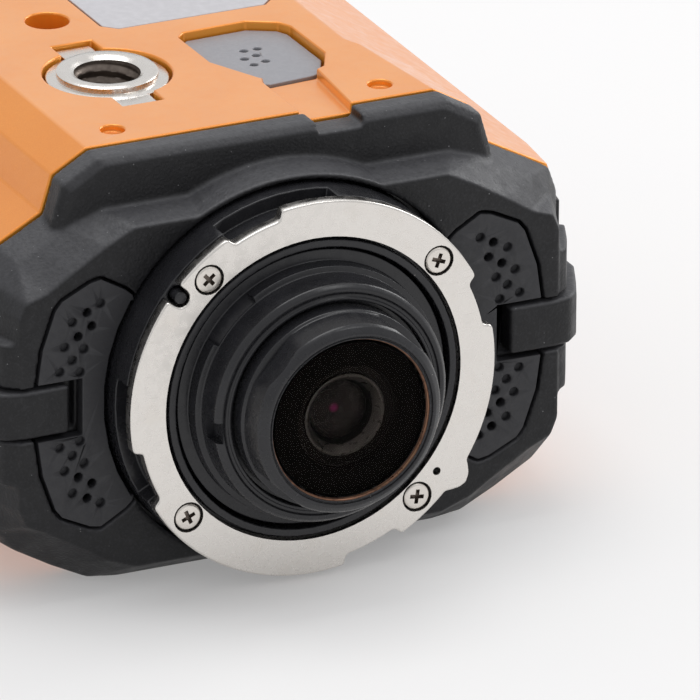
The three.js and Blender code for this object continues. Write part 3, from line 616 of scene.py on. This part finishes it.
def lens_barrel():
    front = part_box("lens_barrel")[0].y / MM
    profile = [(7.1, -25.1), (13.5, -25.1), (13.5, -31), (13.86, -31.5), (13.86, RING_Y + 0.62),
               (12.72, RING_Y + 0.62), (12.7, RING_Y - 0.9), (12.12, RING_Y - 0.95), (12.0, front + 0.4),
               (11.6, front + 0.02),
               (11.2, front + 0.02), (11.1, front + 0.2), (10.8, front + 0.2), (10.7, front + 0.02),
               (10.4, front + 0.02), (10.4, front + 1.0), (7.1, front + 1.0)]
    piece = turned("lens_barrel_skin", rounded(profile, 0.14), shape=barrel_radius, breaks=RECESS)
    cut_by(piece, [block("key_notch", *KEY_NOTCH)])
    stand_for(weighted(piece, 50), "lens_barrel")


def dome(radius, front, sag, steps=18):
    """Points of a shallow dome from its middle to its edge."""
    return [(radius * k / steps, front + sag * (k / steps) ** 2) for k in range(steps + 1)]


GLASS_R = 7.78
GLASS_HOLLOW_R = 7.2
MASK_R = 5.3                                 # the black mask on the back of the front glass starts here
INNER_R = 2.88


def depths(node):
    """Where a node starts and ends along the lens axis, in millimetres."""
    return [corner.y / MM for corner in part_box(node)]


def front_lens():
    """The front glass: domed in front, hollow behind, with a black mask round its back and edge."""
    front, back = depths("front_lens")
    glass = dome(GLASS_R, front + 0.02, 0.4) + [(GLASS_R, back - 0.02)]
    hollow = list(reversed(dome(GLASS_HOLLOW_R, back - 0.45, 0.4)))
    piece = stand_for(turned("front_lens_skin", glass + hollow, count=160), "front_lens", GLASS)

    def masked(c):
        return off_axis(c) > GLASS_R - 0.08 or (off_axis(c) > MASK_R and c.y / MM > front + 0.5)

    second_finish(piece, MASK, masked)


def lens_baffle():
    """The dark ring behind the glass, with a grey cone at its middle, whose grey is a painted reflection."""
    f = depths("lens_baffle")[0]
    ring = [(3.25, f + 0.85), (3.86, f + 0.06), (4.0, f + 0.02), (4.12, f + 0.08), (4.2, f + 0.3),
            (4.95, f + 0.34), (5.0, f + 0.2), (5.12, f + 0.2), (5.2, f + 0.36), (6.66, f + 0.2),
            (6.66, f + 6.5), (3.25, f + 6.5)]
    piece = stand_for(turned("lens_baffle_skin", rounded(ring, 0.05), count=160), "lens_baffle", BAFFLE)
    second_finish(piece, CONE, lambda c: off_axis(c) < 4.1 and c.y / MM < f + 0.95)


def inner_lens():
    front, back = depths("inner_lens")
    profile = dome(INNER_R, front + 0.02, 0.6) + [(INNER_R, back - 0.05), (0, back - 0.05)]
    stand_for(turned("inner_lens_skin", profile, count=128), "inner_lens", ELEMENT)


def face_loops(work, chosen):
    """The closed outlines, as lists of (x, z), of the chosen flat faces."""
    edges = [e for e in work.edges if sum(chosen(f) for f in e.link_faces) == 1]
    beside = {}
    for edge in edges:
        for a, b in (edge.verts, reversed(edge.verts)):
            beside.setdefault(a, []).append(b)
    loops = []
    while beside:
        start = min(beside, key=lambda v: v.index)
        loop, here, before = [start], beside[start][0], start
        while here is not start:
            loop.append(here)
            before, here = here, next(v for v in beside[here] if v is not before)
        for vertex in loop:
            del beside[vertex]
        loops.append([(v.co.x / MM, v.co.z / MM) for v in loop])
    return loops


def signed_area(loop):
    return sum(a[0] * b[1] - b[0] * a[1] for a, b in zip(loop, loop[1:] + loop[:1])) / 2


def inset(loop, distance):
    """The outline moved to its left, which is into the material."""
    out = []
    for i, (x, z) in enumerate(loop):
        here, before, after = Vector((x, z)), Vector(loop[i - 1]), Vector(loop[(i + 1) % len(loop)])
        a, b = (here - before).normalized(), (after - here).normalized()
        side = Vector((-a.y - b.y, a.x + b.x))
        out.append(here + side * (2 * distance / max(side.length_squared, 1.0)))
    return out


RING_CHAMFER = 0.2
RING_CORNER = 0.45
HOLE_EDGE = 0.03
HOLE_CORNER = 0.1


def mount_ring():
    """The bayonet ring: its outline has round corners and a polished round edge, its holes crisp ones."""
    source = welded_copy("lens_mount_ring")
    loops = face_loops(source, lambda f: f.normal.y < -0.99)
    source.free()
    outer = max(loops, key=lambda loop: abs(signed_area(loop)))
    front, back = depths("lens_mount_ring")
    work = bmesh.new()
    first, last = [], []
    for loop in loops:
        outside = loop is outer
        if (signed_area(loop) > 0) != outside:
            loop = loop[::-1]
        loop = rounded(loop, RING_CORNER if outside else HOLE_CORNER, 4)
        width = RING_CHAMFER if outside else HOLE_EDGE
        turns = [k * math.pi / 8 for k in range(5)]
        steps = [(width * (1 - math.sin(a)), front + width * (1 - math.cos(a))) for a in turns]
        steps += [(0, back - HOLE_EDGE), (HOLE_EDGE, back)]
        rings = [[work.verts.new((q.x * MM, y * MM, q.y * MM)) for q in inset(loop, d)] for d, y in steps]
        for ring, following in zip(rings, rings[1:]):
            for k in range(len(ring)):
                m = (k + 1) % len(ring)
                work.faces.new((ring[k], ring[m], following[m], following[k]))
        for cap, ring in ((first, rings[0]), (last, rings[-1])):
            cap += [work.edges.get((ring[k], ring[(k + 1) % len(ring)])) for k in range(len(ring))]
    for cap in (first, last):
        bmesh.ops.triangle_fill(work, use_beauty=True, edges=cap)
        for edge in cap:
            edge.smooth = False
    bmesh.ops.recalc_face_normals(work, faces=work.faces)
    mesh = bpy.data.meshes.new("lens_mount_ring_skin")
    work.to_mesh(mesh)
    work.free()
    stand_for(new_piece(mesh.name, mesh), "lens_mount_ring")


SCREW_FRONT = 0.04                           # behind the ring's face
CROSS_ARM, CROSS_HALF, CROSS_DEPTH = 0.72, 0.2, 0.55
SCREW_TURNS = {"mount_ring_screw_1": 20, "mount_ring_screw_2": 48, "mount_ring_screw_3": 66,
               "mount_ring_screw_4": 8}      # degrees by which each screw's cross is turned


def ring_screw(node):
    """A low screw head with a rounded edge and a dark crossed recess."""
    at = centre_of(node)
    front = RING_Y + SCREW_FRONT

    def place(r, y, angle):
        return Vector((at.x + r * MM * math.cos(angle), y * MM, at.z + r * MM * math.sin(angle)))

    profile = [(0, front), (1.08, front), (1.2, front + 0.03), (1.28, front + 0.12), (1.28, front + 1.02),
               (0.7, front + 1.05), (0.7, front + 4.5), (0, front + 4.5)]
    piece = turned(node + "_skin", profile, place, 64)
    floor_y = front + CROSS_DEPTH
    cutters = [block("cross", (-a, a), (front - 1, floor_y), (-b, b))
               for a, b in ((CROSS_ARM, CROSS_HALF), (CROSS_HALF, CROSS_ARM))]
    spin = Matrix.Rotation(math.radians(SCREW_TURNS[node]), 4, "Y")
    for cutter in cutters:                   # a block is made on the lens axis
        cutter.data.transform(Matrix.Translation((at.x - LENS.x, 0, at.z)) @ spin
                              @ Matrix.Translation((0, 0, -LENS.z)))
    stand_for(weighted(cut_by(piece, cutters), 35), node)
    reach = math.hypot(CROSS_ARM, CROSS_HALF) + 0.02

    def in_cross(c):
        near = math.hypot(c.x - at.x, c.z - at.z) / MM < reach
        return near and front + 0.02 < c.y / MM < floor_y + 0.02

    second_finish(piece, BORE, in_cross)


# ---------------------------------------------------------------- tripod socket
THREAD_PITCH = 1.27
THREAD_DEPTH = 0.34
BORE_R = 3.2
BORE_DEPTH = 6.0
BORE_LIP = 0.02                              # the bore's wall starts this far above the tripod face
BORE_STEP = 0.11
FLANGE_R = 5.88


def socket_radius(r, z, degrees):
    """A helical thread along the bore, fading out at both ends."""
    if abs(r - BORE_R) > 0.1:
        return r
    fade = max(0.0, min(1.0, (-0.15 - z) / 0.5, (BORE_DEPTH - 0.3 + z) / 0.5))
    phase = (z / THREAD_PITCH - degrees / 360) % 1.0
    return r - THREAD_DEPTH * fade * abs(2 * phase - 1)


def tripod_socket():
    steps = int((BORE_DEPTH + BORE_LIP) / BORE_STEP) + 1
    bore = [(BORE_R, BORE_LIP - BORE_STEP * k) for k in range(steps)]
    outside = [(0, -BORE_DEPTH), (0, -6.65), (4.15, -6.65), (4.15, -1.5), (FLANGE_R, -1.5), (FLANGE_R, -0.45),
               (5.75, -0.35), (5.0, -0.35), (4.87, -0.3), (4.87, 0.2), (4.7, 0.35), (3.75, 0.35), (3.5, 0.2)]
    piece = turned("tripod_socket_skin", outside + bore, on_socket_axis, 144, socket_radius)
    stand_for(weighted(piece, 45), "tripod_socket")

    def in_bore(c):
        return math.hypot(c.x - SOCKET.x, c.y - SOCKET.y) / MM < BORE_R + 0.15 and (c.z - TOP) / MM < 0.05

    second_finish(piece, BORE, in_bore)


def socket_tabs():
    """The socket's two tabs, which are the node's mesh less everything inside the flange."""
    tabs = bevelled("tripod_socket", 0.12, name="socket_tabs")
    gap_r = FLANGE_R + 0.02
    inside = turned("tab_gap", [(0, 2), (gap_r, 2), (gap_r, -8), (0, -8)], on_socket_axis, 96)
    weighted(cut_by(tabs, [inside]))
    tabs.data.materials.clear()
    tabs.data.materials.append(LOOKS["stainless"].material)
    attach(tabs, "camera")


# ---------------------------------------------------------------- microphone grilles
MIC_HOLES = [(19.7, 10.15), (21.1, 9.45), (22.6, 8.7), (20.6, 8.0), (22.0, 7.15), (23.4, 6.3), (21.4, 5.8),
             (22.6, 4.85), (23.9, 3.85), (21.8, 3.5)]
OPEN_HOLES = (1, 3, 4)                       # the holes that go deep, to the microphone
OPEN_DEPTH = 2.0
BLIND_DEPTH = 0.62
HOLE_R = 0.46
HOLE_LEAD = 0.12
HOLE_SIDES = 28


def hole_cutter(x, z, front, back):
    """A short tapered plug that opens one hole, with a slight lead-in."""
    wide = HOLE_R + HOLE_LEAD
    points = [(wide, front - 0.5), (wide, front), (HOLE_R, front + HOLE_LEAD), (HOLE_R, back)]
    angles = [math.tau * k / HOLE_SIDES for k in range(HOLE_SIDES)]
    work = bmesh.new()
    rings = [[work.verts.new((x * MM + r * MM * math.cos(a), y * MM, LENS.z + z * MM + r * MM * math.sin(a)))
              for a in angles] for r, y in points]
    for ring, following in zip(rings, rings[1:]):
        for k in range(HOLE_SIDES):
            m = (k + 1) % HOLE_SIDES
            work.faces.new((ring[k], ring[m], following[m], following[k]))
    work.faces.new(rings[0])
    work.faces.new(rings[-1])
    bmesh.ops.recalc_face_normals(work, faces=work.faces)
    mesh = bpy.data.meshes.new("hole")
    work.to_mesh(mesh)
    work.free()
    return new_piece("hole", mesh)


def mic_grille(side_name, side):
    node = "mic_grille_" + side_name
    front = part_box(node)[0].y / MM
    piece = bevelled(node, 0.12, 2, 50)
    cutters = []
    for i, (x, z) in enumerate(MIC_HOLES):
        back = front + (OPEN_DEPTH if i in OPEN_HOLES else BLIND_DEPTH)
        cutters += [hole_cutter(side * x, flip * z, front, back) for flip in (1, -1)]
    stand_for(weighted(cut_by(piece, cutters)), node)


# ---------------------------------------------------------------- every node's piece
EDGE_WIDTHS = {
    "side_rail_right": 0.45, "side_rail_left": 0.45, "base_shell": 0.22, "top_shell": 0.22,
    "battery_door": 0.25, "bayonet_collar": 0.14, "lock_pin": 0.16, "speaker_cover": 0.14,
    "label_plate": 0.08, "lcd_window": 0.15, "door_latch": 0.22, "front_chassis": 0.3,
    "rear_bulkhead": 0.25, "battery": 0.35,
}
GRIP_EDGE = 0.24
BUTTON_EDGE = 0.2
SCREW_EDGE = 0.06
OTHER_EDGE = 0.09
MOULDED = ("front_bumper", "rear_frame")
OWN_MESH = ("lens_mount_ring", "lens_bezel", "lens_barrel", "front_lens", "lens_baffle", "inner_lens",
            "tripod_socket", "mic_grille_right", "mic_grille_left")
OWN_LOOKS = {"label_plate": LABEL}


def edge_width(node):
    if node in EDGE_WIDTHS:
        return EDGE_WIDTHS[node]
    if node.startswith("side_grip"):
        return GRIP_EDGE
    if node.endswith("_button"):
        return BUTTON_EDGE
    return SCREW_EDGE if "screw" in node else OTHER_EDGE


def build():
    for node in sorted(frame["nodes"]):
        if node in MOULDED:
            stand_for(moulded_copy(node), node)
        elif node in SCREW_TURNS:
            ring_screw(node)
        elif node not in OWN_MESH:
            stand_for(bevelled(node, edge_width(node)), node, OWN_LOOKS.get(node))
    mount_ring()
    lens_bezel()
    lens_barrel()
    front_lens()
    lens_baffle()
    inner_lens()
    tripod_socket()
    socket_tabs()
    mic_grille("right", 1)
    mic_grille("left", -1)


# ---------------------------------------------------------------- studio and camera
CAMERA_AT = (-0.64161, -1.40234, 0.65399)
CAMERA_TURN = (67.3297, -0.3293, -25.1494)
CAMERA_LENS = 894.27                        # a long lens, so the shapes stay nearly parallel


def camera():
    data = bpy.data.cameras.new("camera")
    data.lens = CAMERA_LENS
    data.sensor_width = 36
    data.clip_end = 20
    eye = bpy.data.objects.new("camera", data)
    eye.location = CAMERA_AT
    eye.rotation_euler = Euler([math.radians(a) for a in CAMERA_TURN])
    bpy.context.scene.collection.objects.link(eye)
    bpy.context.scene.camera = eye


LIGHT_AIM = (0, 0, 0.02)
FLOOR_Z = -0.0001                            # just under the object


def softbox(name, at, size, power):
    """A square lamp of that size in metres, turned to the object."""
    data = bpy.data.lights.new(name, "AREA")
    data.shape = "RECTANGLE"
    data.size = data.size_y = size
    data.energy = power
    lamp = bpy.data.objects.new(name, data)
    lamp.location = at
    lamp.rotation_euler = (Vector(LIGHT_AIM) - Vector(at)).to_track_quat("-Z", "Y").to_euler()
    bpy.context.scene.collection.objects.link(lamp)


def floor():
    work = bmesh.new()
    bmesh.ops.create_circle(work, cap_ends=True, radius=6, segments=96)
    mesh = bpy.data.meshes.new("floor")
    work.to_mesh(mesh)
    work.free()
    ground = new_piece("floor", mesh)
    ground.location.z = FLOOR_Z
    look = Look("paper", (0.56, 0.556, 0.554), 0.9,
                Emission_Color=(1, 0.99, 0.985, 1), Emission_Strength=0.27)
    look.tint(look.ranged(look.noise(60, 3.0), 0.3, 0.8, 0, 0.4), (0.54, 0.536, 0.54))
    mesh.materials.append(look.material)


def studio():
    world = bpy.data.worlds.new("studio")
    world.use_nodes = True
    bpy.context.scene.world = world
    tree = world.node_tree
    sky = tree.nodes["Background"]
    direction = tree.nodes.new("ShaderNodeTexCoord").outputs["Generated"]
    # brighter behind the object than in front of it
    shade = map_range(tree, part_of(tree, direction, "Y"), -1, 0.7, 0.66, 0.82)
    tree.links.new(shade, sky.inputs["Strength"])
    sky.inputs["Color"].default_value = (0.98, 0.985, 1.0, 1)
    softbox("top_light", (0.0, 0.2, 1.2), 0.7, 5.0)
    softbox("right_light", (1.0, 0.2, 0.55), 0.45, 3.4)
    softbox("crown_light", (0.42, -0.42, 0.9), 0.3, 0.9)
    floor()
    bpy.context.scene.view_settings.view_transform = "Standard"


camera()
studio()
build()
